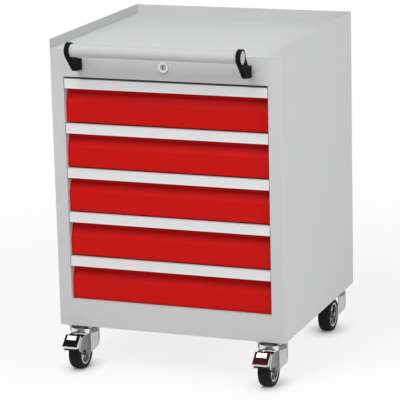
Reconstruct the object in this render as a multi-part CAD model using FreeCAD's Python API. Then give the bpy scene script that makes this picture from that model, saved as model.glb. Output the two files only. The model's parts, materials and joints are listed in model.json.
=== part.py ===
import FreeCAD, Part
import math
import os

# Mobile drawer cabinet: a folded sheet-metal body with a rimmed tray top, a push handle,
# five drawers on telescopic slides, a central lock and four swivel casters, two with brakes.
# X runs to the right, Y to the back, Z up. The origin is on the floor, under the middle of
# the whole object's box. All sizes are in millimetres.

Vector = FreeCAD.Vector

# Body
body_width = 530.0
body_depth = 500.0
body_height = 645.0
sheet = 1.0
bend_radius = 0.8
post_width = 30.0
post_return = 25.0
rear_flange = 12.0
rim_height = 21.0
top_rail_height = 60.0
bottom_rail_height = 60.5
rail_flange = 22.0
rail_lip = 8.0
tray_flange = 15.0
base_flange = 20.0

# Uprights and floor channels
upright_depth = 30.0
upright_sheet = 1.5
upright_setback = 72.0
channel_width = 64.0
channel_height = 18.0
channel_sheet = 2.0

# Drawers
drawer_count = 5
side_gap = 1.5
sill_gap = 1.3
head_gap = 5.2
front_gap = 3.0
front_recess = 9.5
front_slope_top = 9.0
front_slope_bottom = 33.0
front_slope_radius = 10.0
grip_height = 21.0
grip_depth = 20.0
grip_wall = 1.6
grip_rear_height = 14.0
box_height = 80.0
box_floor_gap = 8.0
box_rim = 7.0

# Telescopic slides
slide_height = 45.0
slide_thickness = 12.7
slide_sheet = 1.2
slide_setback = 24.0
slide_rear_space = 31.0
slide_play = 0.3
outer_flange = 9.0
middle_web_offset = 2.0
middle_depth = 7.5
middle_height = 35.4
inner_height = 25.2
inner_depth = 8.2
ball_row_width = 3.0
ball_row_share = 200.0

# Push handle
handle_diameter = 28.0
handle_length = 400.0
handle_reach = 53.0
handle_above_tray = 8.0
bracket_thickness = 11.0
bracket_ring = 3.5
bracket_strut_y = 31.0
bracket_strut_drop = 49.0
bracket_foot_drop = 52.0
bracket_foot_height = 26.0
bracket_notch_y = 20.0
bracket_notch_drop = 24.0
bracket_corner = 6.0
end_cap = 2.5
handle_screw_width = 8.0
handle_screw_height = 4.0
handle_screw_spacing = 13.0

# Central lock
lock_drop = 30.0
lock_collar_radius = 11.5
lock_collar_height = 3.0
lock_barrel_width = 16.5
lock_barrel_length = 25.0
lock_plug_radius = 6.5
lock_plug_proud = 1.0
lock_clip_width = 26.0
lock_clip_height = 2.0
keyway_width = 1.8
keyway_height = 8.0
keyway_depth = 12.0
rod_width = 5.0
crank_width = 10.0
crank_thickness = 3.0
crank_pin_radius = 2.5
bar_lift = 10.0
bar_width = 30.0
bar_thickness = 3.0
bar_rear_gap = 7.0
bar_crank_gap = 2.0
bar_foot = 20.0
bar_head = 12.0
finger_width = 9.0
finger_thickness = 3.5
finger_below_tab = 2.0
tab_below_grip = 60.0
tab_thickness = 2.0
tab_width = 28.0
tab_to_bar = 1.0
tab_slot_play = 1.5
guide_height = 15.0
guide_wall = 3.5
guide_play = 0.4
guide_offset = 45.0
bearing_width = 30.0
bearing_sheet = 2.0
bearing_play = 0.06

# Casters
caster_height = 100.0
caster_inset = 42.0
caster_setback = 37.0
swivel_offset = 27.0
wheel_radius = 37.5
wheel_width = 29.0
hub_radius = 28.0
hub_rim = 4.0
hub_sides = 24
hub_width = 27.0
hub_boss_width = 18.0
spoke_count = 6
spoke_width = 6.0
axle_radius = 4.0
axle_play = 0.05
plate_size = 60.0
plate_thickness = 3.0
plate_screw_spacing = 46.0
race_radius = 21.0
race_height = 3.7
swivel_gap = 0.3
kingpin_radius = 6.0
kingpin_nut_width = 17.0
kingpin_nut_height = 5.0
fork_sheet = 2.0
hood_radius = 33.0
hood_shoulder = 14.0
crown_bevel = 3.0
hood_skirt = 13.0
hood_back_drop = 38.0
throat_forward = 12.0
throat_low = 56.0
fork_boss_radius = 11.0
fork_wheel_gap = 3.5
fork_corner = 12.0
fork_back_fall = 2.0
axle_head_width = 12.0
axle_head_height = 3.0
screw_head_width = 10.0
screw_head_height = 4.0

# Brake pedals
pedal_pin_forward = 41.0
pedal_pin_rise = 19.5
pedal_pin_radius = 3.0
pedal_width = 35.2
pedal_sheet = 2.0
pedal_top_y = 4.0
pedal_top_z = 29.0
pedal_toe_y = -19.0
pedal_toe_z = 8.0
pedal_toe_lip = 4.0
pedal_lip_fall = 0.8
pedal_ear_inset = 1.0
pedal_ear_drop = 3.0
pedal_block = 6.0
pedal_cam_reach = 8.0
pedal_arm_radius = 7.0
pedal_step_height = 3.0
pedal_step_length = 11.0
pedal_step_width = 22.0
pedal_step_inset = 4.0

# Places worked out from the sizes above
half_width = body_width / 2
floor_z = caster_height
top_z = floor_z + body_height
tray_z = top_z - rim_height
tray_under = tray_z - sheet
opening_top = tray_z - top_rail_height
opening_bottom = floor_z + bottom_rail_height
opening_half = half_width - post_width
handle_ring_radius = handle_diameter / 2 + bracket_ring
handle_front = handle_reach + handle_ring_radius
front_y = (handle_front - body_depth) / 2
back_y = front_y + body_depth
back_inner = back_y - 2 * sheet
drawer_pitch = (opening_top - opening_bottom - sill_gap - head_gap + front_gap) / drawer_count
first_bottom = opening_bottom + sill_gap
front_half = opening_half - side_gap
slide_start = front_y + slide_setback
slide_length = body_depth - slide_setback - slide_rear_space
slide_end = slide_start + slide_length
box_half = opening_half - slide_thickness
box_front = front_y + grip_depth + sheet
box_back = slide_end + sheet
handle_y = front_y - handle_reach
handle_z = tray_z + handle_above_tray
bracket_outer = handle_length / 2
lock_z = tray_z - lock_drop
bar_back = back_inner - bar_rear_gap
bar_front = bar_back - bar_thickness
finger_front = bar_front - tab_to_bar - finger_thickness - 2 * tab_slot_play
crank_throw = bar_lift / (2 * math.sin(math.radians(45)))
axle_z = wheel_radius
plate_under = caster_height - plate_thickness
race_under = plate_under - race_height
dome_top = race_under - swivel_gap
skirt_z = dome_top - hood_skirt
caster_x = half_width - caster_inset
caster_front_y = front_y + caster_setback
caster_rear_y = back_y - caster_setback


def box(low, high):
    """Block between two corners."""
    size = [high[i] - low[i] for i in range(3)]
    return Part.makeBox(size[0], size[1], size[2], Vector(*low))


def rod(start, direction, radius, length):
    """Cylinder from a point along a direction."""
    return Part.makeCylinder(radius, length, Vector(*start), Vector(*direction))


def in_plan(a, b):
    """Point of a section drawn from above, (x, y)."""
    return Vector(a, b, 0)


def in_front(a, b):
    """Point of a section drawn from the front, (x, z)."""
    return Vector(a, 0, b)


def in_side(a, b):
    """Point of a section drawn from the side, (y, z)."""
    return Vector(0, a, b)


def outline(corners, place):
    """Closed wire through corners (a, b) or (a, b, radius), its corners rounded by tangent arcs."""
    edges = []
    ends = []
    count = len(corners)
    for i in range(count):
        here = place(*corners[i][:2])
        radius = corners[i][2] if len(corners[i]) > 2 else 0
        if radius <= 0:
            ends.append((here, here, None))
            continue
        before = (place(*corners[i - 1][:2]) - here).normalize()
        after = (place(*corners[(i + 1) % count][:2]) - here).normalize()
        half_angle = before.getAngle(after) / 2
        reach = radius / math.tan(half_angle)
        bisector = (before + after).normalize()
        middle = here + bisector * (radius / math.sin(half_angle) - radius)
        ends.append((here + before * reach, here + after * reach, middle))
    for i in range(count):
        start, end, middle = ends[i]
        if middle is not None:
            edges.append(Part.Arc(start, middle, end).toShape())
        following = ends[(i + 1) % count][0]
        if end.distanceToPoint(following) > 1e-6:
            edges.append(Part.LineSegment(end, following).toShape())
    return Part.Wire(edges)


def prism(corners, place, start, length):
    """Solid with a constant section; place gives the drawing plane, start its offset."""
    normal = place(1, 0).cross(place(0, 1))
    if abs(normal.y) > 0.5:
        normal = Vector(0, 1, 0)
    face = Part.Face(outline(corners, place))
    face.translate(normal * start)
    return face.extrude(normal * length)


def folded(path, thickness, bends):
    """Corners of a folded sheet: path runs along one face and the metal lies to its left.

    bends holds the inside radius of each inner corner of the path; 0 leaves it sharp.
    """
    headings = []
    for i in range(len(path) - 1):
        step = (path[i + 1][0] - path[i][0], path[i + 1][1] - path[i][1])
        length = math.hypot(*step)
        headings.append((step[0] / length, step[1] / length))
    near = []
    far = []
    for i, (a, b) in enumerate(path):
        before = headings[max(i - 1, 0)]
        after = headings[min(i, len(headings) - 1)]
        turn = before[0] * after[1] - before[1] * after[0]
        normal = (-before[1] - after[1], before[0] + after[0])
        scale = 2 * thickness / (normal[0] ** 2 + normal[1] ** 2)
        inner = bends[i - 1] if 0 < i < len(path) - 1 else 0
        outer = inner + thickness if inner else 0
        near.append((a, b, outer if turn > 0 else inner))
        far.append((a + normal[0] * scale, b + normal[1] * scale, inner if turn > 0 else outer))
    return near + far[::-1]


def joined(shapes):
    """One solid from shapes that meet."""
    return shapes[0].fuse(shapes[1:]).removeSplitter()


def moved(shape, x=0.0, y=0.0, z=0.0):
    """Copy of a shape, shifted."""
    copy = shape.copy()
    copy.translate(Vector(x, y, z))
    return copy


def mirrored(shape):
    """Copy of a shape on the other side of the cabinet's middle plane."""
    return shape.mirror(Vector(0, 0, 0), Vector(1, 0, 0))


def polygon(sides, reach):
    """Corners of a regular polygon at a given distance from its centre."""
    turn = 2 * math.pi / sides
    return [(reach * math.cos(turn * i), reach * math.sin(turn * i)) for i in range(sides)]


def hexagon(width):
    """Corners of a regular hexagon, given its width across flats."""
    return polygon(6, width / math.sqrt(3))


def save(name, *solids):
    """Write one sub-part's solids to its own file."""
    shape = solids[0] if len(solids) == 1 else Part.makeCompound(list(solids))
    shape.exportStep(os.path.join("parts", name + ".step"))


# Body panels

def side_panel():
    """Right side: wall folded round a front post with a return, and a rear flange."""
    path = [(opening_half, front_y + post_return), (opening_half, front_y), (half_width, front_y),
            (half_width, back_y), (half_width - rear_flange, back_y)]
    section = folded(path, sheet, [0, bend_radius, 0])
    panel = prism(section, in_plan, floor_z, body_height)
    inner = half_width - sheet
    above_tray = box((opening_half - sheet, front_y - sheet, tray_under),
                     (inner, back_y - 2 * rear_flange, top_z + sheet))
    for_floor = box((opening_half - sheet, front_y + sheet, floor_z - sheet),
                    (inner, back_y - sheet, floor_z + sheet))
    for_channel = box((opening_half - sheet, front_y + sheet, floor_z - sheet),
                      (opening_half + 2 * sheet, front_y + post_return + sheet,
                       floor_z + channel_height + 5 * sheet))
    return panel.cut([above_tray, for_floor, for_channel]).removeSplitter()


def back_panel():
    """Flat back, held inside the side panels' rear flanges and standing up as the rear rim."""
    inner = half_width - sheet
    return box((-inner, back_y - 2 * sheet, floor_z), (inner, back_y - sheet, top_z))


def top_tray():
    """Worktop sheet with flanges turned down along the sides and the back."""
    inner = half_width - sheet
    floor = box((-inner, front_y, tray_under), (inner, back_inner, tray_z))
    rear = box((-inner, back_inner - sheet, tray_under - tray_flange), (inner, back_inner, tray_under))
    side = box((inner - sheet, front_y + post_return + sheet, tray_under - tray_flange),
               (inner, back_inner, tray_under))
    return joined([floor, rear, side, mirrored(side)])


def front_top_rail():
    """Channel over the drawers with a six-sided hole for the lock."""
    path = [(front_y + rail_flange, tray_under), (front_y, tray_under), (front_y, opening_top),
            (front_y + post_return, opening_top), (front_y + post_return, opening_top + rail_lip)]
    rail = prism(folded(path, sheet, [0, 0, 0]), in_side, -opening_half, 2 * opening_half)
    return rail.cut(lock_barrel(front_y - sheet, 3 * sheet))


def front_bottom_rail():
    """Angle under the drawers: fascia, sill and a stiffening lip."""
    path = [(front_y + post_return, opening_bottom - rail_lip), (front_y + post_return, opening_bottom),
            (front_y, opening_bottom), (front_y, floor_z)]
    return prism(folded(path, sheet, [0, 0]), in_side, -opening_half, 2 * opening_half)


def base_panel():
    """Floor of the body with flanges turned up along the sides and the back."""
    inner = half_width - sheet
    top = floor_z + sheet
    floor = box((-inner, front_y + sheet, floor_z), (inner, back_inner, top))
    rear = box((-inner, back_inner - sheet, top), (inner, back_inner, top + base_flange))
    side = box((inner - sheet, front_y + post_return + 2 * sheet, top), (inner, back_inner, top + base_flange))
    return joined([floor, rear, side, mirrored(side)])


def slide_uprights():
    """Four channels, two on each side, that carry the slides."""
    reach = half_width - 2 * sheet
    uprights = []
    for y in (front_y + upright_setback, back_y - upright_setback - upright_depth):
        path = [(reach, y + upright_depth), (opening_half, y + upright_depth), (opening_half, y), (reach, y)]
        section = folded(path, upright_sheet, [0, 0])
        upright = prism(section, in_plan, floor_z + sheet, tray_under - floor_z - sheet)
        uprights += [upright, mirrored(upright)]
    return uprights


def base_channels():
    """Two channels across the floor, over the front and the rear casters."""
    reach = half_width - 2 * sheet
    bottom = floor_z + sheet
    channels = []
    for y in (caster_front_y, caster_rear_y):
        low = y - channel_width / 2
        high = y + channel_width / 2
        path = [(low, bottom + channel_height), (low, bottom), (high, bottom), (high, bottom + channel_height)]
        channels.append(prism(folded(path, channel_sheet, [0, 0]), in_side, -reach, 2 * reach))
    return channels


# Telescopic slides, drawn for the right side: u is the distance from the upright's face

def slide_member(corners, start, length, centre_z):
    """Member of the right slide; corners (u, v), with v measured from the slide's middle."""
    placed = [(opening_half - u, centre_z + v) + tuple(rest) for u, v, *rest in corners]
    return prism(placed, in_front, start, length)


def channel_corners(web, depth, height):
    """Channel section of a rolled member, its web at u = web and its flanges towards the drawer."""
    half = height / 2
    path = [(web + depth, half), (web, half), (web, -half), (web + depth, -half)]
    return folded(path, slide_sheet, [0, 0])


def slide_centre(row):
    """Height of a drawer's slides; row 0 is the lowest drawer."""
    return first_bottom + row * drawer_pitch - front_gap + box_floor_gap + box_height / 2


def cabinet_rails():
    """Outer members, one on each side of every drawer."""
    rails = []
    for row in range(drawer_count):
        section = channel_corners(0, outer_flange, slide_height)
        rail = slide_member(section, slide_start, slide_length, slide_centre(row))
        rails += [rail, mirrored(rail)]
    return rails


def ball_row(low, high, u, start, length, centre_z):
    """Row of balls in its cage, as one bar."""
    corners = [(u, low), (u, high), (u + ball_row_width, high), (u + ball_row_width, low)]
    return slide_member(corners, start, length, centre_z)


def middle_rails(row):
    """Intermediate members with their ball rows: outer rows at the back, inner rows in front."""
    centre = slide_centre(row)
    half = middle_height / 2
    solids = [slide_member(channel_corners(middle_web_offset, middle_depth, middle_height),
                           slide_start, slide_length, centre)]
    outer_top = slide_height / 2 - slide_sheet - slide_play
    outer_u = middle_web_offset + slide_sheet
    inner_low = inner_height / 2 + slide_play
    inner_high = half - slide_sheet
    inner_u = middle_web_offset + middle_depth - ball_row_width
    for side in (-1, 1):
        rear_start = slide_end - ball_row_share
        solids.append(ball_row(side * half, side * outer_top, outer_u, rear_start, ball_row_share, centre))
        solids.append(ball_row(side * inner_low, side * inner_high, inner_u,
                               slide_start, ball_row_share, centre))
    return solids + [mirrored(solid) for solid in solids]


def drawer_rails(row):
    """Inner members, fixed to the drawer's sides."""
    half = inner_height / 2
    path = [(slide_thickness - inner_depth, -half), (slide_thickness, -half),
            (slide_thickness, half), (slide_thickness - inner_depth, half)]
    rail = slide_member(folded(path, slide_sheet, [0, 0]), slide_start, slide_length, slide_centre(row))
    return [rail, mirrored(rail)]


# Drawers; row 0 is the lowest

def grip_top(row):
    """Height of a grip strip's top edge."""
    return first_bottom + (row + 1) * drawer_pitch - front_gap


def drawer_front(row):
    """Folded front: flat face, a slope back under the grip, and closed ends."""
    top = grip_top(row)
    bottom = first_bottom + row * drawer_pitch
    grip_bottom = top - grip_height
    face = front_y + front_recess
    rear = front_y + grip_depth
    path = [(rear, top - grip_wall), (rear, grip_bottom - front_slope_top),
            (face, grip_bottom - front_slope_bottom), (face, bottom), (box_front, bottom)]
    section = folded(path, sheet, [front_slope_radius, front_slope_radius, 0])
    skin = prism(section, in_side, -front_half, 2 * front_half)
    cheek_corners = [(rear, grip_bottom - front_slope_top, front_slope_radius),
                     (face, grip_bottom - front_slope_bottom, front_slope_radius + sheet),
                     (face, bottom), (box_front, bottom), (box_front, grip_bottom), (rear, grip_bottom)]
    cheek = prism(cheek_corners, in_side, front_half - sheet, sheet)
    return joined([skin, cheek, mirrored(cheek)])


def drawer_grip(row):
    """Extruded grip strip: front wall, top and rear wall round a finger space open below."""
    top = grip_top(row)
    front = front_y
    rear = front_y + grip_depth
    corners = [(front, top, grip_wall), (front, top - grip_height), (front + grip_wall, top - grip_height),
               (front + grip_wall, top - grip_wall), (rear - grip_wall, top - grip_wall),
               (rear - grip_wall, top - grip_rear_height), (rear, top - grip_rear_height), (rear, top)]
    return prism(corners, in_side, -front_half, 2 * front_half)


def drawer_box(row):
    """Open tray with inward rims and, at the back, the lock's slotted tab."""
    bottom = grip_top(row) - drawer_pitch + box_floor_gap
    top = bottom + box_height
    outside = box((-box_half, box_front, bottom), (box_half, box_back, top))
    inside = box((-box_half + sheet, box_front + sheet, bottom + sheet),
                 (box_half - sheet, box_back - sheet, top - sheet))
    mouth = box((-box_half + box_rim, box_front + box_rim, top - 2 * sheet),
                (box_half - box_rim, box_back - box_rim, top + sheet))
    tab_z = grip_top(row) - tab_below_grip
    tab = box((-tab_width / 2, box_back - sheet, tab_z),
              (tab_width / 2, bar_front - tab_to_bar, tab_z + tab_thickness))
    slot = box((-finger_width / 2 - tab_slot_play, finger_front - tab_slot_play, tab_z - sheet),
               (finger_width / 2 + tab_slot_play, finger_front + finger_thickness + tab_slot_play,
                tab_z + tab_thickness + sheet))
    return joined([outside.cut([inside, mouth]), tab.cut(slot)])


# Push handle

def handle_tube():
    """Round tube through the brackets' rings, closed by a cap at each end."""
    reach = bracket_outer - end_cap
    return rod((-reach, handle_y, handle_z), (1, 0, 0), handle_diameter / 2, 2 * reach)


def handle_end_cap():
    """Right cap over the tube's end, flush with the bracket's outer face."""
    return rod((bracket_outer - end_cap, handle_y, handle_z), (1, 0, 0), handle_diameter / 2, end_cap)


def handle_bracket():
    """Right bracket: a ring round the tube on a raked strut with a foot."""
    ring_y = handle_y
    strut = (front_y - bracket_strut_y, handle_z - bracket_strut_drop)
    reach = math.hypot(ring_y - strut[0], handle_z - strut[1])
    towards = math.atan2(handle_z - strut[1], ring_y - strut[0])
    spread = math.asin(handle_ring_radius / reach)
    run = math.sqrt(reach ** 2 - handle_ring_radius ** 2)
    tangent = (strut[0] + run * math.cos(towards + spread), strut[1] + run * math.sin(towards + spread))
    foot_bottom = handle_z - bracket_foot_drop
    corners = [tangent, (strut[0], strut[1], bracket_corner), (front_y, foot_bottom),
               (front_y, foot_bottom + bracket_foot_height),
               (front_y - bracket_notch_y, handle_z - bracket_notch_drop),
               (ring_y + handle_ring_radius, handle_z), (ring_y, handle_z)]
    inner = bracket_outer - bracket_thickness
    web = prism(corners, in_side, inner, bracket_thickness)
    ring = rod((inner, ring_y, handle_z), (1, 0, 0), handle_ring_radius, bracket_thickness)
    bore = rod((inner, ring_y, handle_z), (1, 0, 0), handle_diameter / 2, bracket_thickness)
    return joined([web, ring]).cut(bore)


def handle_screw_places():
    """X and Z of the screws that hold the two brackets."""
    x = bracket_outer - bracket_thickness / 2
    middle = handle_z - bracket_foot_drop + bracket_foot_height / 2
    heights = (middle - handle_screw_spacing / 2, middle + handle_screw_spacing / 2)
    return [(side * x, z) for side in (-1, 1) for z in heights]


def handle_screws():
    """Heads of the screws that hold the brackets, inside the top rail."""
    screws = []
    for x, z in handle_screw_places():
        flats = [(x + across, z + up) for across, up in hexagon(handle_screw_width)]
        screws.append(prism(flats, in_front, front_y + sheet, handle_screw_height))
    return screws


# Central lock

def lock_barrel(start, length):
    """Six-sided outside of the lock's barrel, which keeps it from turning in the rail."""
    flats = [(x, lock_z + z) for x, z in hexagon(lock_barrel_width)]
    return prism(flats, in_front, start, length)


def lock_housing():
    """Collar and barrel, and the spring clip that holds them behind the rail."""
    collar = rod((0, front_y, lock_z), (0, -1, 0), lock_collar_radius, lock_collar_height)
    bore = rod((0, front_y - 2 * lock_collar_height, lock_z), (0, 1, 0), lock_plug_radius + axle_play,
               lock_barrel_length + 3 * lock_collar_height)
    housing = joined([collar, lock_barrel(front_y, lock_barrel_length)]).cut(bore)
    half = lock_clip_width / 2
    clip = box((-half, front_y + sheet, lock_z - half),
               (half, front_y + sheet + lock_clip_height, lock_z + half))
    return [housing, clip.cut(lock_barrel(front_y, lock_barrel_length))]


def lock_plug():
    """Turning plug with an upright keyway."""
    start = front_y - lock_collar_height - lock_plug_proud
    end = front_y + lock_barrel_length + sheet
    plug = rod((0, start, lock_z), (0, 1, 0), lock_plug_radius, end - start)
    keyway = box((-keyway_width / 2, start - sheet, lock_z - keyway_height / 2),
                 (keyway_width / 2, start + keyway_depth, lock_z + keyway_height / 2))
    return plug.cut(keyway)


def lock_rod():
    """Square rod from the plug to a crank arm whose pin lifts the locking bar."""
    start = front_y + lock_barrel_length + sheet
    crank_back = bar_front - bar_crank_gap
    half_rod = rod_width / 2
    shaft = box((-half_rod, start, lock_z - half_rod), (half_rod, crank_back, lock_z + half_rod))
    half_arm = crank_width / 2
    arm = box((-half_arm, crank_back - crank_thickness, -half_arm), (crank_throw + half_arm, crank_back, half_arm))
    pin = rod((crank_throw, crank_back, 0), (0, 1, 0), crank_pin_radius, bar_crank_gap + bar_thickness + sheet)
    crank = joined([arm, pin])
    crank.rotate(Vector(0, 0, 0), Vector(0, 1, 0), 45)
    return joined([shaft, moved(crank, z=lock_z)])


def locking_bar():
    """Upright bar with a slot for the crank pin and a finger under each drawer's tab."""
    bottom = grip_top(0) - tab_below_grip - bar_foot
    bar = box((-bar_width / 2, bar_front, bottom), (bar_width / 2, bar_back, lock_z + bar_head))
    reach = crank_throw * math.sin(math.radians(45))
    half_slot = crank_pin_radius + guide_play
    slot = box((reach - half_slot - guide_play, bar_front - sheet, lock_z - reach - half_slot),
               (crank_throw + half_slot + guide_play, bar_back + sheet, lock_z - reach + half_slot))
    fingers = []
    for row in range(drawer_count):
        tip = grip_top(row) - tab_below_grip - finger_below_tab
        arm_top = tip - bar_lift
        corners = [(bar_front, arm_top - finger_thickness), (bar_front, arm_top),
                   (finger_front + finger_thickness, arm_top), (finger_front + finger_thickness, tip),
                   (finger_front, tip), (finger_front, arm_top - finger_thickness)]
        fingers.append(prism(corners, in_side, -finger_width / 2, finger_width))
    return joined([bar.cut(slot)] + fingers)


def lock_guides():
    """Two guide blocks for the bar on the back panel and the rod's bearing plate under the tray."""
    half = bar_width / 2
    inner = half + guide_play
    outer = inner + guide_wall
    lip = half - guide_wall
    lip_back = bar_front - guide_play
    lip_front = lip_back - guide_wall / 2
    corners = [(-outer, back_inner), (-outer, lip_front), (-lip, lip_front), (-lip, lip_back),
               (-inner, lip_back), (-inner, bar_back + guide_play), (inner, bar_back + guide_play),
               (inner, lip_back), (lip, lip_back), (lip, lip_front), (outer, lip_front), (outer, back_inner)]
    heights = (grip_top(0) - tab_below_grip + guide_offset,
               grip_top(drawer_count - 1) - tab_below_grip + guide_offset)
    guides = [prism(corners, in_plan, z, guide_height) for z in heights]
    bearing_y = box_back - bearing_sheet
    path = [(bearing_y, lock_z - bearing_width / 2), (bearing_y, tray_under),
            (bearing_y - bearing_width / 2, tray_under)]
    bearing = prism(folded(path, bearing_sheet, [0]), in_side, -bearing_width / 2, bearing_width)
    reach = rod_width / math.sqrt(2) + bearing_play
    window = box((-reach, bearing_y - bearing_sheet, lock_z - reach),
                 (reach, bearing_y + 2 * bearing_sheet, lock_z + reach))
    return guides + [bearing.cut(window)]


# Casters, drawn round a swivel axis at X = Y = 0 with the wheel towards the front

def caster_places():
    """Name, X and Y of each caster's swivel axis."""
    return [("front_left", -caster_x, caster_front_y), ("front_right", caster_x, caster_front_y),
            ("rear_left", -caster_x, caster_rear_y), ("rear_right", caster_x, caster_rear_y)]


def plate_screw_offsets():
    """Places of a caster's four screws round its swivel axis."""
    half = plate_screw_spacing / 2
    return [(x, y) for x in (-half, half) for y in (-half, half)]


def caster_top_plate():
    """Fixing plate with the fixed ball race and the kingpin, whose nut carries the fork."""
    half = plate_size / 2
    plate = box((-half, -half, plate_under), (half, half, caster_height))
    race = rod((0, 0, race_under), (0, 0, 1), race_radius, race_height)
    nut_top = skirt_z - swivel_gap
    kingpin = rod((0, 0, nut_top), (0, 0, 1), kingpin_radius, plate_under - nut_top)
    nut = prism(hexagon(kingpin_nut_width), in_plan, nut_top - kingpin_nut_height, kingpin_nut_height)
    return joined([plate, race, kingpin, nut])


def caster_screw():
    """Hex head of a screw under the top plate."""
    return prism(hexagon(screw_head_width), in_plan, plate_under - screw_head_height, screw_head_height)


def fork_crown():
    """Round crown of the fork under the ball race, its rim bevelled, bored for the kingpin."""
    bore = kingpin_radius + axle_play
    corners = [(bore, dome_top), (hood_radius - crown_bevel, dome_top), (hood_radius, dome_top - crown_bevel),
               (hood_radius, skirt_z), (bore, skirt_z)]
    face = Part.Face(outline(corners, in_front))
    return face.revolve(Vector(0, 0, 0), Vector(0, 0, 1), 360)


def fork_block(inset, bottom, top):
    """Half-round back that steps in through shoulders to two flat legs, as a solid block."""
    leg = wheel_width / 2 + fork_wheel_gap + fork_sheet - inset
    radius = hood_radius - inset
    forward = pedal_pin_forward + swivel_offset + 2 * pedal_arm_radius
    corners = [(leg, -forward), (leg, -hood_shoulder), (radius, 0), (-radius, 0),
               (-leg, -hood_shoulder), (-leg, -forward)]
    back = rod((0, 0, bottom), (0, 0, 1), radius, top - bottom)
    half_round = back.common(box((-radius, 0, bottom), (radius, radius, top)))
    return joined([prism(corners, in_plan, bottom, top - bottom), half_round])


def fork_shell(braked):
    """Crown, rounded back and two legs, open at the front and below."""
    bottom = axle_z - 2 * fork_boss_radius
    walls = fork_block(0, bottom, skirt_z).cut(fork_block(fork_sheet, bottom, skirt_z))
    return joined([walls.common(fork_side_profile(braked)), fork_crown()])


def fork_side_profile(braked):
    """Side view of the fork below its crown: axle end, tapered back edge, and an arm or a throat."""
    axle_y = -swivel_offset
    half = fork_boss_radius / 2
    back = [(axle_y - fork_boss_radius, axle_z), (axle_y - half, axle_z - fork_boss_radius),
            (axle_y + half, axle_z - fork_boss_radius), (axle_y + 3 * fork_boss_radius, axle_z - fork_back_fall),
            (hood_radius, dome_top - hood_back_drop, fork_corner), (hood_radius, skirt_z)]
    if braked:
        pin_y = axle_y - pedal_pin_forward
        pin_z = axle_z + pedal_pin_rise
        front = [(pin_y + pedal_arm_radius, skirt_z), (pin_y - pedal_arm_radius, pin_z),
                 (pin_y - pedal_arm_radius / 2, pin_z - pedal_arm_radius),
                 (pin_y + 3 * pedal_arm_radius, pin_z - pedal_arm_radius)]
    else:
        front = [(-throat_forward, skirt_z), (-throat_forward, throat_low, fork_corner),
                 (axle_y - fork_sheet, axle_z + fork_boss_radius)]
    return prism(back + front, in_side, -hood_radius, 2 * hood_radius)


def fork(braked):
    """Pressed fork with its riveted axle and, on a braked caster, the pedal's pin."""
    axle_y = -swivel_offset
    inside = wheel_width / 2 + fork_wheel_gap
    flats = [(y + axle_y, z + axle_z) for y, z in hexagon(axle_head_width)]
    nut = prism(flats, in_side, inside + fork_sheet, axle_head_height)
    axle = rod((-inside, axle_y, axle_z), (1, 0, 0), axle_radius, 2 * inside)
    pieces = [fork_shell(braked), axle, nut, mirrored(nut)]
    if braked:
        pin = (-inside, axle_y - pedal_pin_forward, axle_z + pedal_pin_rise)
        pieces.append(rod(pin, (1, 0, 0), pedal_pin_radius, 2 * inside))
    return joined(pieces)


def tyre():
    """Solid rubber tyre, keyed on the flats of the hub."""
    half = wheel_width / 2
    tread = rod((-half, 0, 0), (1, 0, 0), wheel_radius, wheel_width)
    seat = prism(polygon(hub_sides, hub_radius), in_side, -half, wheel_width)
    return moved(tread.cut(seat), 0, -swivel_offset, axle_z)


def hub():
    """Hub: many-sided core with a six-sided boss and tapered windows between straight spokes."""
    core = prism(polygon(hub_sides, hub_radius), in_side, -hub_width / 2, hub_width)
    boss_half = wheel_width / 2 + fork_wheel_gap - swivel_gap
    boss = prism(hexagon(hub_boss_width), in_side, -boss_half, 2 * boss_half)
    rim_inner = hub_radius - hub_rim
    step = math.radians(180 / spoke_count)
    window = []
    for radius in (hub_boss_width / math.sqrt(3), rim_inner):
        angle = step - math.asin(spoke_width / 2 / radius)
        window.append((radius * math.cos(angle), radius * math.sin(angle)))
    corners = [window[0], window[1], (rim_inner, 0), (window[1][0], -window[1][1]), (window[0][0], -window[0][1])]
    opening = prism(corners, in_side, -hub_width, 2 * hub_width)
    cuts = [rod((-boss_half, 0, 0), (1, 0, 0), axle_radius + axle_play, 2 * boss_half)]
    for i in range(spoke_count):
        turned_opening = opening.copy()
        turned_opening.rotate(Vector(0, 0, 0), Vector(1, 0, 0), 360 / spoke_count * i)
        cuts.append(turned_opening)
    return moved(joined([core, boss]).cut(cuts), 0, -swivel_offset, axle_z)


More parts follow.
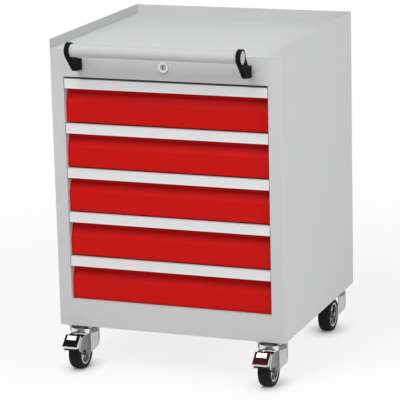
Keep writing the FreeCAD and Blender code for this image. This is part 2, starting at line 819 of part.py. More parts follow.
def brake_pedal():
    """Stamped pedal: sloping tread plate with a toe lip and a raised step, two ears and a cam block."""
    pin_y = -swivel_offset - pedal_pin_forward
    pin_z = axle_z + pedal_pin_rise
    heel = (pin_y + pedal_top_y, pin_z + pedal_top_z)
    toe = (pin_y + pedal_toe_y, pin_z + pedal_toe_z)
    slope = math.hypot(heel[0] - toe[0], heel[1] - toe[1])
    along = ((toe[0] - heel[0]) / slope, (toe[1] - heel[1]) / slope)
    lip = (toe[0] - pedal_toe_lip, toe[1] - pedal_lip_fall)
    plate = prism(folded([heel, toe, lip], pedal_sheet, [0]), in_side, -pedal_width / 2, pedal_width)
    ear_corners = [heel, (toe[0] + pedal_ear_inset, toe[1] + pedal_ear_inset),
                   (toe[0] + 2 * pedal_ear_inset, toe[1] - pedal_ear_drop),
                   (pin_y - pedal_block, pin_z), (pin_y + pedal_block, pin_z),
                   (heel[0] + pedal_sheet, heel[1] - 2 * pedal_sheet)]
    ear = prism(ear_corners, in_side, pedal_width / 2 - pedal_sheet, pedal_sheet)
    half_block = pedal_block / 2
    cam_corners = [(pin_y - pedal_block, pin_z - half_block), (pin_y - pedal_block, pin_z + half_block),
                   (pin_y - half_block, pin_z + pedal_block), (pin_y + half_block, pin_z + pedal_block),
                   (pin_y + pedal_block, pin_z + half_block), (pin_y + pedal_block, pin_z - half_block),
                   (pin_y + half_block, pin_z - pedal_cam_reach), (pin_y - half_block, pin_z - pedal_block)]
    cam = prism(cam_corners, in_side, -pedal_width / 2, pedal_width)
    step_start = (heel[0] + pedal_step_inset * along[0], heel[1] + pedal_step_inset * along[1])
    step_end = (step_start[0] + pedal_step_length * along[0], step_start[1] + pedal_step_length * along[1])
    raise_y = along[1] * pedal_step_height
    raise_z = -along[0] * pedal_step_height
    step = prism([step_start, step_end, (step_end[0] + raise_y, step_end[1] + raise_z),
                  (step_start[0] + raise_y, step_start[1] + raise_z)], in_side,
                 -pedal_step_width / 2, pedal_step_width)
    body = joined([plate, ear, mirrored(ear), cam, step])
    return body.cut(rod((-pedal_width, pin_y, pin_z), (1, 0, 0), pedal_pin_radius + axle_play, 2 * pedal_width))


def main():
    """Make every sub-part and write it."""
    os.makedirs("parts", exist_ok=True)
    right = side_panel()
    save("right_side_panel", right)
    save("left_side_panel", mirrored(right))
    save("back_panel", back_panel())
    save("top_tray", top_tray())
    save("front_top_rail", front_top_rail())
    save("front_bottom_rail", front_bottom_rail())
    save("base_panel", base_panel())
    save("slide_uprights", *slide_uprights())
    save("base_channels", *base_channels())
    save("cabinet_rails", *cabinet_rails())
    for row in range(drawer_count):
        name = "drawer_%d" % (drawer_count - row)
        save(name + "_front", drawer_front(row))
        save(name + "_grip", drawer_grip(row))
        save(name + "_box", drawer_box(row))
        save(name + "_rails", *drawer_rails(row))
        save(name + "_middle_rails", *middle_rails(row))
    save("handle_tube", handle_tube())
    cap = handle_end_cap()
    save("handle_end_caps", cap, mirrored(cap))
    bracket = handle_bracket()
    save("handle_brackets", bracket, mirrored(bracket))
    save("handle_screws", *handle_screws())
    save("lock_housing", *lock_housing())
    save("lock_plug", lock_plug())
    save("lock_rod", lock_rod())
    save("locking_bar", locking_bar())
    save("lock_guides", *lock_guides())
    plate = caster_top_plate()
    screw = caster_screw()
    save("caster_top_plates", *[moved(plate, x, y) for _, x, y in caster_places()])
    save("caster_screws", *[moved(screw, x + dx, y + dy) for _, x, y in caster_places()
                            for dx, dy in plate_screw_offsets()])
    forks = {True: fork(True), False: fork(False)}
    wheel_tyre = tyre()
    wheel_hub = hub()
    pedal = brake_pedal()
    for name, x, y in caster_places():
        braked = name.startswith("front")
        save(name + "_fork", moved(forks[braked], x, y))
        save(name + "_tyre", moved(wheel_tyre, x, y))
        save(name + "_hub", moved(wheel_hub, x, y))
        if braked:
            save(name + "_brake_pedal", moved(pedal, x, y))


main()
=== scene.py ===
import json
import math

import bmesh
import bpy
import numpy as np
from mathutils import Matrix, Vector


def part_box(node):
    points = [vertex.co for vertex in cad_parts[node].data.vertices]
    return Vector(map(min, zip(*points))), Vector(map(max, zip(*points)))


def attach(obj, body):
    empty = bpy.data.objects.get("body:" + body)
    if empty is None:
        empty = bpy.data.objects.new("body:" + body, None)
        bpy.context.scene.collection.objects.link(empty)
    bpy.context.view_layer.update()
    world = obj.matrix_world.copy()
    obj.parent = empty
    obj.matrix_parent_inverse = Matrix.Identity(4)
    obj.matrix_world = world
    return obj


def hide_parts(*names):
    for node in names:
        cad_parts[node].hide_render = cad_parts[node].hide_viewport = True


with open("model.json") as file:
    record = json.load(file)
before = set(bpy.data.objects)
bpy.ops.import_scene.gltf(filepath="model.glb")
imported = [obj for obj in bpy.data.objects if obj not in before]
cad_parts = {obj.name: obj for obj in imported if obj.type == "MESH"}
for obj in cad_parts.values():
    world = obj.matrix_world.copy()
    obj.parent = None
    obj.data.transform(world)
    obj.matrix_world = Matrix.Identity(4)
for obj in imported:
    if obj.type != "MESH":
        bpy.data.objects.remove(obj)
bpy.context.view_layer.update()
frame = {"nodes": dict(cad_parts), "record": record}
mm = 0.001

# Camera. It has a long lens and stands in front and to the right, well above the worktop. It
# looks slightly down at the cabinet, with a small lean.
camera_place = (1.74704, -4.54842, 1.54747)
camera_heading = math.radians(21.0844)
camera_drop = math.radians(13.7903)
camera_lean = math.radians(-1.4265)
camera_lens = 200.18
camera_sensor = 36.0
camera_reach = 100.0

forward = np.array((-math.sin(camera_heading) * math.cos(camera_drop),
                    math.cos(camera_heading) * math.cos(camera_drop), -math.sin(camera_drop)))
level = np.array((math.cos(camera_heading), math.sin(camera_heading), 0.0))
above = np.cross(level, forward)
right = math.cos(camera_lean) * level + math.sin(camera_lean) * above
upward = math.cos(camera_lean) * above - math.sin(camera_lean) * level
lens = bpy.data.cameras.new("camera")
lens.lens = camera_lens
lens.sensor_width = camera_sensor
lens.clip_end = camera_reach
camera = bpy.data.objects.new("camera", lens)
bpy.context.scene.collection.objects.link(camera)
turn = Matrix((right, upward, -forward)).transposed()
camera.matrix_world = Matrix.Translation(camera_place) @ turn.to_4x4()
bpy.context.scene.camera = camera
bpy.context.scene.view_settings.view_transform = "Standard"


class Value:
    """One socket in maths. The operators add Math nodes, also with a plain number on the left."""

    def __init__(self, finish, socket):
        self.finish = finish
        self.socket = socket

    def maths(self, operation, first, second):
        return self.finish.node("ShaderNodeMath", {"operation": operation}, {0: first, 1: second})

    def __add__(self, other):
        return self.maths("ADD", self, other)

    def __mul__(self, other):
        return self.maths("MULTIPLY", self, other)

    __radd__ = __add__
    __rmul__ = __mul__


class Finish:
    """A material in the making; node() adds any shader node and hands back its output as a Value."""

    def __init__(self, name, tree=None):
        if tree is None:
            self.material = bpy.data.materials.new(name)
            self.material.use_nodes = True
            tree = self.material.node_tree
        self.tree = tree
        self.shader = tree.nodes.get("Principled BSDF")

    def node(self, kind, settings, sockets, output=0):
        made = self.tree.nodes.new(kind)
        for key, setting in settings.items():
            setattr(made, key, setting)
        for key, value in sockets.items():
            self.join(made.inputs[key], value)
        return Value(self, made.outputs[output])

    def join(self, socket, value):
        if isinstance(value, Value):
            self.tree.links.new(value.socket, socket)
        else:
            socket.default_value = value

    def set(self, **sockets):
        for key, value in sockets.items():
            self.join(self.shader.inputs[key.replace("_", " ")], value)

    def place(self, stretch=(1.0, 1.0, 1.0)):
        """The piece's own coordinates in metres, stretched."""
        own = self.node("ShaderNodeTexCoord", {}, {}, "Object")
        return self.node("ShaderNodeMapping", {}, {"Vector": own, "Scale": stretch})

    def noise(self, grain, stretch=(1.0, 1.0, 1.0), detail=2.0):
        """Noise from 0 to 1 whose grain is about so many millimetres."""
        return self.node("ShaderNodeTexNoise", {},
                         {"Vector": self.place(stretch), "Scale": 1 / (grain * mm), "Detail": detail})

    def between(self, factor, first, second):
        """First colour at 0, second at 1."""
        return self.node("ShaderNodeMix", {"data_type": "RGBA"},
                         {0: factor, 6: (*first, 1.0), 7: (*second, 1.0)}, 2)

    def raised(self, height, depth):
        """Bump of a height from 0 to 1, so many millimetres deep."""
        self.set(Normal=self.node("ShaderNodeBump", {},
                                  {"Height": height, "Distance": depth * mm, "Strength": 1.0}))


# Floor and light. A pale floor runs into a white surround. A soft lamp stands high in front, a
# weak one hangs overhead, a broad one fills the right side, and the surround lifts the rest.
floor_colour = (0.88, 0.88, 0.88, 1.0)
floor_roughness = 0.9
floor_reach = 30.0
near_glow = 0.82
near_reach = 0.45
far_reach = 2.0
fill_strength = 0.32
lamp_target = (0.0, 0.0, 0.4)
contact_reach = 0.045
contact_samples = 12
lamps = {"front_lamp": ((-0.60, -2.45, 3.05), 1.5, 51.0),
         "top_lamp": ((-0.15, -1.05, 2.50), 0.9, 16.5),
         "side_lamp": ((3.15, -0.75, 1.55), 2.6, 54.0)}


def unlit(finish):
    """1 where the camera, a reflection or a clear piece looks, 0 where light falls."""
    seen = finish.node("ShaderNodeLightPath", {}, {}, "Is Camera Ray")
    glossy = finish.node("ShaderNodeLightPath", {}, {}, "Is Glossy Ray")
    clear = finish.node("ShaderNodeLightPath", {}, {}, "Is Transmission Ray")
    rays = seen + glossy + clear
    return rays.maths("MINIMUM", rays, 1.0)


floor_corners = [(x * floor_reach, y * floor_reach, 0) for x, y in ((-1, -1), (1, -1), (1, 1), (-1, 1))]
floor_mesh = bpy.data.meshes.new("floor")
floor_mesh.from_pydata(floor_corners, [], [(0, 1, 2, 3)])
floor = bpy.data.objects.new("floor", floor_mesh)
bpy.context.scene.collection.objects.link(floor)
ground = Finish("pale_floor")
ground.set(Base_Color=floor_colour, Roughness=floor_roughness)
glow = ground.node("ShaderNodeEmission", {}, {"Color": (1.0, 1.0, 1.0, 1.0), "Strength": 1.0})
distance = ground.node("ShaderNodeVectorMath", {"operation": "LENGTH"}, {0: ground.place()}, "Value")
floor_glow = ground.node("ShaderNodeMapRange", {},
                         {"Value": distance, "From Min": near_reach, "From Max": far_reach,
                          "To Min": near_glow, "To Max": 1.0})
open_sky = ground.node("ShaderNodeAmbientOcclusion", {"samples": contact_samples},
                       {"Distance": contact_reach}, "AO")
seen_glow = unlit(ground) * floor_glow * open_sky * open_sky
mixed = ground.node("ShaderNodeMixShader", {},
                    {0: seen_glow, 1: Value(ground, ground.shader.outputs[0]), 2: glow})
ground.join(ground.tree.nodes["Material Output"].inputs[0], mixed)
floor_mesh.materials.append(ground.material)

world = bpy.data.worlds.new("surround")
world.use_nodes = True
bpy.context.scene.world = world
sky = Finish("surround", world.node_tree)
sky.join(sky.tree.nodes["Background"].inputs["Color"], (1.0, 1.0, 1.0, 1.0))
sky.join(sky.tree.nodes["Background"].inputs["Strength"], unlit(sky) * (1 - fill_strength) + fill_strength)

for name, (place, width, strength) in lamps.items():
    lamp_data = bpy.data.lights.new(name, "AREA")
    lamp_data.shape = "SQUARE"
    lamp_data.size = width
    lamp_data.energy = strength
    lamp = bpy.data.objects.new(name, lamp_data)
    bpy.context.scene.collection.objects.link(lamp)
    away = np.array(place) - np.array(lamp_target)
    away = away / np.linalg.norm(away)
    aside = np.cross((0.0, 1.0, 0.0), away)
    aside = aside / np.linalg.norm(aside)
    aim = Matrix((aside, np.cross(away, aside), away)).transposed()
    lamp.matrix_world = Matrix.Translation(place) @ aim.to_4x4()

# Body panels. Thin sheet steel, folded and welded, powder-coated light grey all over. The
# coat rounds the cut edges a little and has a fine orange peel.
panel_colour = (0.555, 0.563, 0.560)
panel_shade = (0.535, 0.543, 0.540)
panel_edge = 0.25
coat_roughness = 0.46
coat_wander = 0.06
coat_cloud = 60.0
peel_grain = 1.4
peel_depth = 0.012
sharp_edge = 35.0
edge_segments = 2
join_distance = 0.002
flat_within = 0.4

bodies = frame["record"]["behaviour"]["bodies"]
node_body = {node: body for body, nodes in bodies.items() for node in nodes}


def powder_coat(name, colour, shade, roughness, peel, shine=0.3):
    """Baked paint: slow cloudy tone, fine orange peel, and a gloss that wanders slightly."""
    coat = Finish(name)
    cloud = coat.noise(coat_cloud)
    orange = coat.noise(peel_grain, detail=1.0)
    coat.set(Base_Color=coat.between(cloud, shade, colour), Specular_IOR_Level=shine,
             Roughness=cloud * coat_wander + (roughness - coat_wander / 2))
    coat.raised(orange, peel)
    return coat.material


def fit(piece, material, *nodes):
    """The piece takes its finish, rides with the CAD nodes' body and stands for them."""
    piece.data.materials.clear()
    piece.data.materials.append(material)
    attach(piece, node_body[nodes[0]])
    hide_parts(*nodes)
    return piece


def eased(piece, width):
    """Rounds the sharp edges by so many millimetres, and keeps the flats flat."""
    piece.data.polygons.foreach_set("use_smooth", np.ones(len(piece.data.polygons), bool))
    edge = piece.modifiers.new("edge", "BEVEL")
    edge.width = width * mm
    edge.segments = edge_segments
    edge.limit_method = "ANGLE"
    edge.angle_limit = math.radians(sharp_edge)
    flats = piece.modifiers.new("flats", "WEIGHTED_NORMAL")
    flats.keep_sharp = True
    return piece


def merged(node):
    """A copy of a CAD node with its triangles joined into one closed skin."""
    piece = bpy.data.objects.new(node + "_finished", frame["nodes"][node].data.copy())
    bpy.context.scene.collection.objects.link(piece)
    shape = bmesh.new()
    shape.from_mesh(piece.data)
    bmesh.ops.remove_doubles(shape, verts=shape.verts, dist=join_distance * mm)
    shape.to_mesh(piece.data)
    shape.free()
    return piece


def flattened(piece):
    """The same skin with each flat made one face."""
    shape = bmesh.new()
    shape.from_mesh(piece.data)
    bmesh.ops.dissolve_limit(shape, angle_limit=math.radians(flat_within), verts=shape.verts,
                             edges=shape.edges)
    shape.to_mesh(piece.data)
    shape.free()
    return piece


def finished(node, width, material):
    """A CAD node with its triangles joined, its flats made whole and its edges rounded."""
    return fit(eased(flattened(merged(node)), width), material, node)


body_paint = powder_coat("light_grey_coat", panel_colour, panel_shade, coat_roughness, peel_depth)
for panel in ("left_side_panel", "right_side_panel", "back_panel", "top_tray", "front_top_rail",
              "front_bottom_rail", "base_panel"):
    finished(panel, panel_edge, body_paint)

# Uprights, floor channels and slides. The uprights and channels are welded in and coated with
# the body. The slides are roll-formed zinc-plated strip, drawn lengthwise.
streak_grain = 1.2
streak_gloss = 0.12
streak_depth = 0.006
bloom_grain = 14.0
bloom_share = 0.6
rail_edge = 0.2
middle_rail_edge = 0.15
drawn_in_depth = (1.0, 0.04, 1.0)
drawers = range(1, 6)
for carrier in ("slide_uprights", "base_channels"):
    finished(carrier, panel_edge, body_paint)


def plated(name, colour, shade, roughness, stretch=(1.0, 1.0, 1.0)):
    """Plated or cast metal: fine streaks, drawn out by the stretch, over a faint cloudy bloom."""
    plate = Finish(name)
    streak = plate.noise(streak_grain, stretch, detail=3.0)
    bloom = plate.noise(bloom_grain)
    tone = bloom * bloom_share + streak * (1 - bloom_share)
    plate.set(Base_Color=plate.between(tone, shade, colour), Metallic=1.0,
              Roughness=streak * streak_gloss + roughness)
    plate.raised(streak, streak_depth)
    return plate.material


slide_zinc = plated("drawn_zinc", (0.60, 0.61, 0.60), (0.46, 0.47, 0.46), 0.26, drawn_in_depth)
finished("cabinet_rails", rail_edge, slide_zinc)
for number in drawers:
    finished("drawer_%d_rails" % number, rail_edge, slide_zinc)
    finished("drawer_%d_middle_rails" % number, middle_rail_edge, slide_zinc)

# Drawer fronts. Folded sheet, signal red: a flat face leans back through two soft bends under
# the grip strip. The ends are closed by cheeks, and the box behind is the same red.
red = (0.560, 0.0075, 0.0065)
red_shade = (0.525, 0.0065, 0.0055)
red_shine = 0.06
front_recess = 9.5
face_slope = (9.0, 33.0)
face_bend = 10.0
inner_shift = 0.4
foot_bend = 1.2
foot_crease = 0.2
grip_height = 21.0
grip_depth = 20.0
sheet = 1.0
sheet_edge = 0.2


def linked(name, mesh):
    """A new object at the origin that shows the mesh."""
    piece = bpy.data.objects.new(name, mesh)
    bpy.context.scene.collection.objects.link(piece)
    return piece


def rounded(corners, steps=7):
    """Closed outline through corners (a, b, radius). Each round corner is the arc
    centre + radius (cos t, sin t) that touches both sides, t running from one side to the other."""
    points = []
    for i, (a, b, radius) in enumerate(corners):
        here = np.array((a, b))
        if radius <= 0:
            points.append(here[None])
            continue
        before = np.array(corners[i - 1][:2]) - here
        after = np.array(corners[(i + 1) % len(corners)][:2]) - here
        before = before / np.linalg.norm(before)
        after = after / np.linalg.norm(after)
        half = math.acos(float(np.clip(before @ after, -1, 1))) / 2
        middle = (before + after) / np.linalg.norm(before + after)
        centre = here + middle * radius / math.sin(half)
        first = here + before * radius / math.tan(half) - centre
        last = here + after * radius / math.tan(half) - centre
        start = math.atan2(first[1], first[0])
        sweep = (math.atan2(last[1], last[0]) - start + math.pi) % (2 * math.pi) - math.pi
        t = start + sweep * np.linspace(0, 1, steps)
        points.append(centre + radius * np.stack((np.cos(t), np.sin(t)), 1))
    return np.concatenate(points)


def carried(name, outline, start, end):
    """A closed outline (y, z) carried along X: point(u, s) = (start + s (end - start), y(u), z(u))."""
    count = len(outline)
    stations = np.array((start, end))
    grid = np.empty((2, count, 3))
    grid[:, :, 0] = stations[:, None]
    grid[:, :, 1:] = outline[None]
    near = np.arange(count)
    following = (near + 1) % count
    sides = np.stack((near, following, following + count, near + count), 1).tolist()
    mesh = bpy.data.meshes.new(name)
    mesh.from_pydata((grid.reshape(-1, 3) * mm).tolist(), [],
                     sides + [near[::-1].tolist(), (near + count).tolist()])
    shape = bmesh.new()
    shape.from_mesh(mesh)
    bmesh.ops.recalc_face_normals(shape, faces=shape.faces)
    shape.to_mesh(mesh)
    shape.free()
    return linked(name, mesh)


def together(name, pieces):
    """One object from several pieces that share a finish."""
    shape = bmesh.new()
    for piece in pieces:
        shape.from_mesh(piece.data)
        bpy.data.objects.remove(piece)
    mesh = bpy.data.meshes.new(name)
    shape.to_mesh(mesh)
    shape.free()
    return linked(name, mesh)


def drawer_front(number, low, high, grip_top):
    """Skin with its two bends and folded-under foot, and a cheek at either end."""
    face = low[1]
    rear = low[1] - front_recess + grip_depth
    under = grip_top - grip_height
    upper, lower = (under - drop for drop in face_slope)
    foot = low[2]
    back = high[1]
    skin = rounded([(rear, high[2], 0), (rear, upper, face_bend), (face, lower, face_bend + sheet),
                    (face, foot, foot_bend), (back, foot, 0), (back, foot + sheet, 0),
                    (face + sheet, foot + sheet, foot_crease),
                    (face + sheet, lower - inner_shift, face_bend),
                    (rear + sheet, upper - inner_shift, face_bend + sheet), (rear + sheet, high[2], 0)])
    cheek = rounded([(rear, upper, face_bend), (face, lower, face_bend + sheet),
                     (face, foot, foot_bend), (back, foot, 0), (back, under, 0), (rear, under, 0)])
    return together("drawer_%d_front_sheet" % number,
                    [carried("skin", skin, low[0] + sheet, high[0] - sheet),
                     carried("left_cheek", cheek, low[0], low[0] + sheet),
                     carried("right_cheek", cheek, high[0] - sheet, high[0])])


red_paint = powder_coat("signal_red_coat", red, red_shade, coat_roughness, peel_depth, red_shine)
for number in drawers:
    low, high = (np.array(corner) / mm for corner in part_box("drawer_%d_front" % number))
    grip_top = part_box("drawer_%d_grip" % number)[1][2] / mm
    front = drawer_front(number, low, high, grip_top)
    fit(eased(front, sheet_edge), red_paint, "drawer_%d_front" % number)
    finished("drawer_%d_box" % number, sheet_edge, red_paint)

# Grip strips. Extruded aluminium, pale satin: a shallow face between two small beads, a top
# wall and a short rear wall, with the finger space open below.
grip_wall = 1.6
grip_rear_height = 14.0
bead = 1.6
bead_depth = 0.45
bead_crease = 0.2
bead_blend = 0.6
lip_round = 0.9
foot_round = 0.5
inside_round = 0.4
hem_round = 0.3
rear_round = 0.8
grip_edge = 0.15
line_grain = 0.6
line_gloss = 0.10
line_depth = 0.004
satin_cloud = 40.0
drawn_in_width = (0.02, 1.0, 1.0)


def satin(name, colour, shade, roughness, stretch, metallic, shine=0.3):
    """Anodised aluminium: very fine lines, drawn out by the stretch, slightly cloudy and matt."""
    metal = Finish(name)
    line = metal.noise(line_grain, stretch)
    cloud = metal.noise(satin_cloud)
    metal.set(Base_Color=metal.between(cloud, shade, colour), Metallic=metallic,
              Roughness=line * line_gloss + roughness, Specular_IOR_Level=shine)
    metal.raised(line, line_depth)
    return metal.material


grip_satin = satin("satin_aluminium", (0.72, 0.725, 0.73), (0.68, 0.685, 0.69), 0.42,
                   drawn_in_width, 0.15)
for number in drawers:
    low, high = (np.array(corner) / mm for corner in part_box("drawer_%d_grip" % number))
    front, foot, rear, top = low[1], low[2], high[1], high[2]
    inner_front = front + grip_wall
    inner_rear = rear - grip_wall
    hem = top - grip_rear_height
    strip = rounded([(front, top, lip_round), (front, top - bead, bead_crease),
                     (front + bead_depth, top - 2 * bead, bead_blend),
                     (front + bead_depth, foot + 2 * bead, bead_blend),
                     (front, foot + bead, bead_crease), (front, foot, foot_round),
                     (inner_front, foot, foot_round), (inner_front, top - grip_wall, inside_round),
                     (inner_rear, top - grip_wall, inside_round), (inner_rear, hem, hem_round),
                     (rear, hem, hem_round), (rear, top, rear_round)], steps=4)
    grip = carried("drawer_%d_grip_strip" % number, strip, low[0], high[0])
    fit(eased(grip, grip_edge), grip_satin, "drawer_%d_grip" % number)

# Push handle. A round aluminium tube, closed by flush end caps, sits in the rings of two
# moulded black brackets, which are screwed to the rail from behind.
pole_join_distance = 0.001
tube_edge = 0.3
cap_dish = 0.5
cap_bevel = 1.2
cap_rim_inset = 2.6
cap_dish_inset = 3.4
cap_edge = 0.15
bracket_edge = 0.9
screw_edge = 0.4
plastic_cloud = 18.0
plastic_gloss = 0.10
plastic_lift = 1.5
plastic_haze = 0.002


def turned(name, profile, centre, steps=96, closed=False):
    """A profile (x, r) turned about a line along X: point(u, t) = centre + (x(u), r(u) cos t, r(u) sin t)."""
    profile = np.asarray(profile, float)
    t = np.linspace(0, 2 * math.pi, steps, endpoint=False)
    grid = np.empty((len(profile), steps, 3))
    grid[:, :, 0] = profile[:, :1]
    grid[:, :, 1] = profile[:, 1:] * np.cos(t)
    grid[:, :, 2] = profile[:, 1:] * np.sin(t)
    rows = len(profile) if closed else len(profile) - 1
    u = np.arange(rows)[:, None]
    v = np.arange(steps)[None]
    onward = (u + 1) % len(profile)
    beside = (v + 1) % steps
    faces = np.stack(np.broadcast_arrays(u * steps + v, onward * steps + v, onward * steps + beside,
                                         u * steps + beside), -1).reshape(-1, 4)
    mesh = bpy.data.meshes.new(name)
    mesh.from_pydata(((grid.reshape(-1, 3) + np.asarray(centre)) * mm).tolist(), [], faces.tolist())
    shape = bmesh.new()
    shape.from_mesh(mesh)
    bmesh.ops.remove_doubles(shape, verts=shape.verts, dist=pole_join_distance * mm)
    bmesh.ops.recalc_face_normals(shape, faces=shape.faces)
    shape.to_mesh(mesh)
    shape.free()
    return linked(name, mesh)


tube_low, tube_high = (np.array(corner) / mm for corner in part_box("handle_tube"))
tube_centre = (0.0, (tube_low[1] + tube_high[1]) / 2, (tube_low[2] + tube_high[2]) / 2)
tube_radius = (tube_high[2] - tube_low[2]) / 2
tube_profile = [(tube_low[0], 0.0), (tube_low[0], tube_radius),
                (tube_high[0], tube_radius), (tube_high[0], 0.0)]
handle_satin = satin("handle_aluminium", (0.50, 0.508, 0.506), (0.48, 0.488, 0.486), 0.62,
                     drawn_in_width, 0.0, 0.12)
tube = turned("handle_tube_round", tube_profile, tube_centre)
fit(eased(tube, tube_edge), handle_satin, "handle_tube")

cap_inner = tube_high[0]
cap_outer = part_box("handle_end_caps")[1][0] / mm
caps = []
for side in (-1, 1):
    inside, dish, outside = side * cap_inner, side * (cap_outer - cap_dish), side * cap_outer
    caps.append(turned("cap", [(inside, 0.0), (inside, tube_radius), (dish, tube_radius),
                               (outside, tube_radius - cap_bevel), (outside, tube_radius - cap_rim_inset),
                               (dish, tube_radius - cap_dish_inset), (dish, 0.0)], tube_centre))
fit(eased(together("handle_end_cap_discs", caps), cap_edge), handle_satin, "handle_end_caps")


def moulded(name, colour, roughness, grain, depth, shine=0.12):
    """Moulded plastic or rubber: dark, with a fine eroded grain and slightly uneven gloss."""
    plastic = Finish(name)
    rough = plastic.noise(grain, detail=3.0)
    cloud = plastic.noise(plastic_cloud)
    lighter = tuple(c * plastic_lift + plastic_haze for c in colour)
    plastic.set(Base_Color=plastic.between(cloud, colour, lighter), Specular_IOR_Level=shine,
                Roughness=cloud * plastic_gloss + roughness)
    plastic.raised(rough, depth)
    return plastic.material


bracket_black = moulded("bracket_plastic", (0.0065, 0.0069, 0.0072), 0.50, 0.5, 0.03, 0.02)
finished("handle_brackets", bracket_edge, bracket_black)
screw_zinc = plated("screw_zinc", (0.62, 0.62, 0.60), (0.48, 0.48, 0.46), 0.24)
finished("handle_screws", screw_edge, screw_zinc)

# Central lock. A die-cast barrel with a turned collar shows in the rail, with the plug and its
# keyway in it. Behind, a square rod and crank lift the locking bar in its guides.
housing_edge = 0.5
plug_edge = 0.25
linkage_edge = 0.3
chrome = plated("lock_chrome", (0.72, 0.72, 0.72), (0.62, 0.62, 0.62), 0.10)
finished("lock_housing", housing_edge, chrome)
plug_nickel = plated("plug_nickel", (0.42, 0.42, 0.41), (0.34, 0.34, 0.33), 0.22)
finished("lock_plug", plug_edge, plug_nickel)
for hidden in ("lock_rod", "locking_bar", "lock_guides"):
    finished(hidden, linkage_edge, slide_zinc)

# Casters. Pressed and zinc-plated top plates, races and forks, screwed under the floor. A nut on
# the kingpin holds each fork. The front of the fork's crown carries a painted highlight, its flat
# legs and the crown's flanks painted shade and dark reflection, and its back edge sweeps forward.
drawn_in_height = (1.0, 1.0, 0.25)
fork_zinc = plated("fork_zinc", (0.56, 0.56, 0.56), (0.44, 0.44, 0.44), 0.24, drawn_in_height)
# Painted shade and dark reflection: a darker zinc for the fork's flat legs and the crown's flanks.
painted_shade_zinc = plated("painted_shade_zinc", (0.24, 0.24, 0.24), (0.17, 0.17, 0.17), 0.28, drawn_in_height)
# Bright zinc: bare metal on the pedals' step, toe and ears, and a painted highlight on the front of each fork
# crown.
bare_zinc_and_painted_highlight = plated("bare_zinc_and_painted_highlight", (0.84, 0.84, 0.83), (0.70, 0.70, 0.69), 0.20)
plate_zinc = plated("plate_zinc", (0.40, 0.40, 0.40), (0.30, 0.30, 0.30), 0.26)
plate_edge = 0.5
finished("caster_top_plates", plate_edge, plate_zinc)
finished("caster_screws", plate_edge, screw_zinc)
corners = ("front_left", "front_right", "rear_left", "rear_right")
fork_half = 33.0
fork_edge = 0.4
cut_spare = 5.0
crown_height = 13.0
leg_facing = 0.95
crown_facing = -0.75
crown_side = -0.05
swept_edge = [(-21.5, 26.5, 0), (-5.0, 41.0, 20), (12.0, 63.0, 20), (34.0, 74.0, 0)]


def cut_away(piece, cutter):
    """Takes the cutter's space out of a piece for good, and drops the cutter."""
    cut = piece.modifiers.new("cut", "BOOLEAN")
    cut.object = cutter
    cut.solver = "EXACT"
    ready = piece.evaluated_get(bpy.context.evaluated_depsgraph_get())
    piece.data = bpy.data.meshes.new_from_object(ready)
    piece.modifiers.remove(cut)
    bpy.data.objects.remove(cutter)
    return piece


def refinished(piece, *others):
    """Gives chosen faces another finish; others holds (finish, one truth value per face)."""
    slots = np.zeros(len(piece.data.polygons), np.int32)
    for slot, (finish, chosen) in enumerate(others, 1):
        piece.data.materials.append(finish)
        slots[chosen] = slot
    piece.data.polygons.foreach_set("material_index", slots)


def face_values(piece, quality):
    """Centres in millimetres or normals of a piece's faces, one row each."""
    values = np.empty(len(piece.data.polygons) * 3)
    piece.data.polygons.foreach_get(quality, values)
    return values.reshape(-1, 3) / (mm if quality == "center" else 1.0)


for corner in corners:
    low, high = (np.array(edge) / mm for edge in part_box(corner + "_fork"))
    back = high[1] - fork_half
    centre_x = (low[0] + high[0]) / 2
    behind = high[1] + cut_spare
    below = low[2] - cut_spare
    swept = rounded([(back + y, z, radius) for y, z, radius in swept_edge]
                    + [(behind, swept_edge[-1][1], 0), (behind, below, 0),
                       (back + swept_edge[0][0], below, 0)])
    cutter = carried("cutter", swept, centre_x - fork_half - cut_spare, centre_x + fork_half + cut_spare)
    pressed = flattened(cut_away(merged(corner + "_fork"), cutter))
    fit(eased(pressed, fork_edge), fork_zinc, corner + "_fork")
    centres = face_values(pressed, "center")
    normals = face_values(pressed, "normal")
    # Painted light: the crown's front-facing faces get a painted highlight, and its flanks and the flat legs
    # get painted shade and dark reflection.
    above_skirt = centres[:, 2] > high[2] - crown_height
    crown = above_skirt & (normals[:, 1] < crown_facing)
    flank = above_skirt & ~crown & (normals[:, 1] < crown_side)
    leg = (np.abs(normals[:, 0]) > leg_facing) & ~above_skirt
    refinished(pressed, (bare_zinc_and_painted_highlight, crown), (painted_shade_zinc, leg | flank))

# Wheels. A black rubber tyre with round shoulders is moulded on a die-cast hub: rim, six
# tapered spokes and a boss that runs on the axle.
wheel_radius = 37.5
shoulder = 4.5
tyre_half = 14.5
seat_radius = 27.9
rim_inner = 24.0
rim_half = 13.5
boss_radius = 9.0
boss_half = 17.7
bore_radius = 4.05
spoke_half = 8.0
spoke_root = 3.6
spoke_tip = 2.6
spoke_root_sink = 1.5
spoke_tip_sink = 0.8
spokes = 6
seat_round = 0.4
rim_clearance = 0.1
rim_round = 0.6
rim_outer_round = 0.3
boss_round = 1.0
hub_edge = 0.5
tyre_steps = 112
boss_steps = 64


def tyre_profile():
    """Closed ring section: seat, flat side walls, round shoulders and a flat tread."""
    ring = [(-tyre_half, seat_radius, seat_round), (-tyre_half, wheel_radius, shoulder),
            (tyre_half, wheel_radius, shoulder), (tyre_half, seat_radius, seat_round)]
    return rounded(ring, steps=8)


def spoke(angle, centre):
    """Tapered bar from boss to rim: its half-width runs from root to tip, turned by the angle."""
    inner = boss_radius - spoke_root_sink
    outer = rim_inner + spoke_tip_sink
    along = np.array((inner, outer, outer, inner))
    across = np.array((-spoke_root, -spoke_tip, spoke_tip, spoke_root))
    y = along * math.cos(angle) - across * math.sin(angle) + centre[1]
    z = along * math.sin(angle) + across * math.cos(angle) + centre[2]
    return carried("spoke", np.stack((y, z), 1), centre[0] - spoke_half, centre[0] + spoke_half)


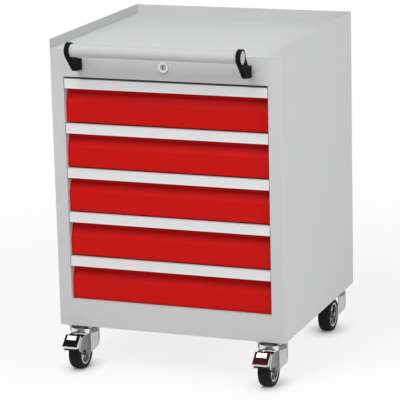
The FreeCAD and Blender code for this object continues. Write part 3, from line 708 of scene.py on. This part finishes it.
tyre_rubber = moulded("tyre_rubber", (0.0075, 0.0075, 0.0078), 0.60, 0.6, 0.02)
hub_cast = plated("cast_hub", (0.66, 0.67, 0.68), (0.50, 0.51, 0.52), 0.20)
for corner in corners:
    low, high = (np.array(edge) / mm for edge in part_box(corner + "_tyre"))
    centre = (low + high) / 2
    tyre = turned(corner + "_tyre_round", tyre_profile(), centre, tyre_steps, closed=True)
    tyre.data.polygons.foreach_set("use_smooth", np.ones(len(tyre.data.polygons), bool))
    fit(tyre, tyre_rubber, corner + "_tyre")
    rim_outer = seat_radius - rim_clearance
    rim = rounded([(-rim_half, rim_inner, rim_round), (-rim_half, rim_outer, rim_outer_round),
                   (rim_half, rim_outer, rim_outer_round), (rim_half, rim_inner, rim_round)], steps=4)
    boss = rounded([(-boss_half, bore_radius, 0.0), (-boss_half, boss_radius, boss_round),
                    (boss_half, boss_radius, boss_round), (boss_half, bore_radius, 0.0)], steps=4)
    pieces = [turned("rim", rim, centre, closed=True),
              turned("boss", boss, centre, boss_steps, closed=True)]
    pieces += [spoke(2 * math.pi * i / spokes, centre) for i in range(spokes)]
    fit(eased(together(corner + "_hub_cast", pieces), hub_edge), hub_cast, corner + "_hub")

# Brake pedals. Stamped steel on the fork's pin, painted, with the raised step, the toe lip and
# the outer ears left bright. The left one is black and the right one a very dark red. The cam
# block underneath, which presses on the tyre, is black.
pedal_colours = {"front_left": (0.0030, 0.0027, 0.0027), "front_right": (0.034, 0.0016, 0.0026)}
pedal_shade = 0.8
pedal_roughness = 0.40
pedal_shine = 0.05
pedal_edge = 0.35
toe_lip = 8.0
tread_run = 23.0
tread_fall = 21.0
tread_start = 27.0
raised_from = 0.6
ear_skin = 0.5
cam_start = 15.0
cam_height = 14.0

for corner, colour in pedal_colours.items():
    shade = tuple(c * pedal_shade for c in colour)
    coat = powder_coat(corner + "_pedal_coat", colour, shade, pedal_roughness, peel_depth, pedal_shine)
    pedal = finished(corner + "_brake_pedal", pedal_edge, coat)
    low, high = (np.array(edge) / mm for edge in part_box(corner + "_brake_pedal"))
    centres = face_values(pedal, "center")
    outward = np.array((-tread_fall, tread_run)) / math.hypot(tread_run, tread_fall)
    height = (centres[:, 1:] - (low[1] + tread_start, high[2])) @ outward
    toe = centres[:, 1] < low[1] + toe_lip
    ear = (centres[:, 0] > high[0] - ear_skin) | (centres[:, 0] < low[0] + ear_skin)
    cam = (centres[:, 1] > low[1] + cam_start) & (centres[:, 2] < low[2] + cam_height) & ~ear
    refinished(pedal, (bare_zinc_and_painted_highlight, toe | ear | (height > raised_from)), (tyre_rubber, cam))
